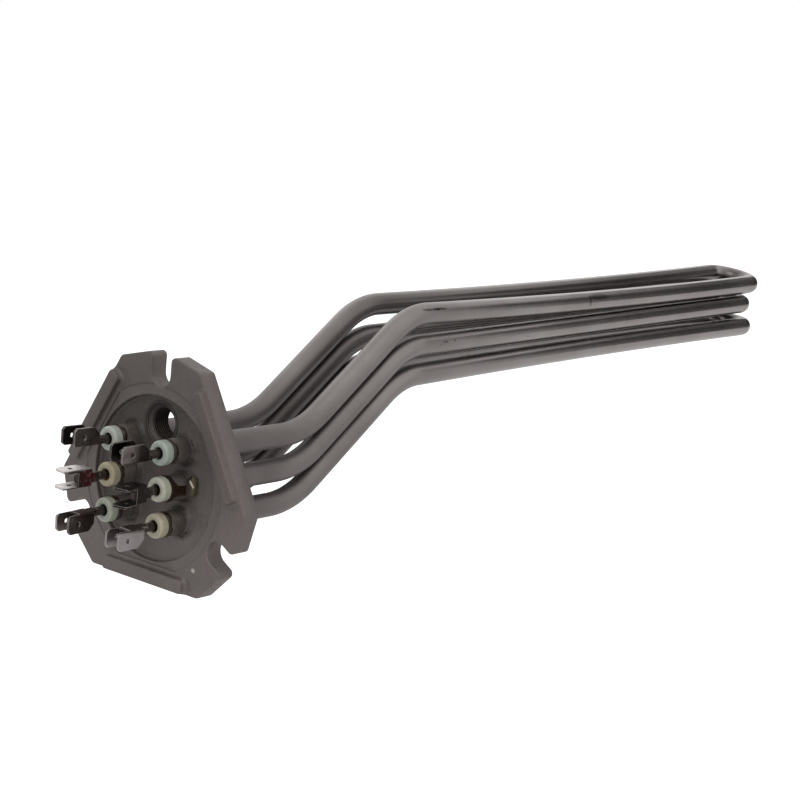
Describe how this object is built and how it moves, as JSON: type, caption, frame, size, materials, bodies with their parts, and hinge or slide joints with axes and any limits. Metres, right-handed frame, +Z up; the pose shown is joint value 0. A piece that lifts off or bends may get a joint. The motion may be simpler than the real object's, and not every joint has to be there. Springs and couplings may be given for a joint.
{
  "type": "flanged immersion heating element",
  "caption": "Flanged immersion heating element: hairpin tubular heaters cranked upward from a blunt triangular flange, with ceramic-beaded double-tab terminals.",
  "frame": {"origin": "centre of the flange on its wet face, between the two columns of tubes", "axes": "+X out of the wet face along the hairpins, terminals towards -X, +Z up through the flange's top notch, near column of tubes in the picture at -Y"},
  "size_m": [0.4252, 0.087, 0.0958],
  "materials": {
    "forged_steel": "forged and machined, dull warm dark grey",
    "sheath_steel": "drawn tube, satin, slightly heat-tinted",
    "magnesia": "compacted powder, matt white",
    "resistance_wire": "oxidised resistance alloy",
    "pin_steel": "drawn rod, satin",
    "tab_steel": "stamped tab, satin with dark tarnish",
    "brown_resin": "glossy dark brown potting resin",
    "ceramic_green": "unglazed pale green ceramic",
    "ceramic_cream": "unglazed cream-yellow ceramic",
    "ceramic_white": "unglazed grey-white ceramic"
  },
  "bodies": {
    "root": {"bead_left_bottom": "ceramic_green", "bead_left_mid": "ceramic_cream", "bead_left_top": "ceramic_green", "bead_right_bottom": "ceramic_cream", "bead_right_mid": "ceramic_white", "bead_right_top": "ceramic_green", "coil_bottom": "resistance_wire", "coil_mid": "resistance_wire", "coil_top": "resistance_wire", "flange": "forged_steel", "magnesia_bottom": "magnesia", "magnesia_mid": "magnesia", "magnesia_top": "magnesia", "pin_left_bottom": "pin_steel", "pin_left_mid": "pin_steel", "pin_left_top": "pin_steel", "pin_right_bottom": "pin_steel", "pin_right_mid": "pin_steel", "pin_right_top": "pin_steel", "resin_run": "brown_resin", "seal_left_bottom": "brown_resin", "seal_left_mid": "brown_resin", "seal_left_top": "brown_resin", "seal_right_bottom": "brown_resin", "seal_right_mid": "brown_resin", "seal_right_top": "brown_resin", "sensor_bush": "forged_steel", "sheath_bottom": "sheath_steel", "sheath_mid": "sheath_steel", "sheath_top": "sheath_steel", "terminal_left_bottom": "tab_steel", "terminal_left_mid": "tab_steel", "terminal_left_top": "tab_steel", "terminal_right_bottom": "tab_steel", "terminal_right_mid": "tab_steel", "terminal_right_top": "tab_steel"}
  },
  "joints": []
}
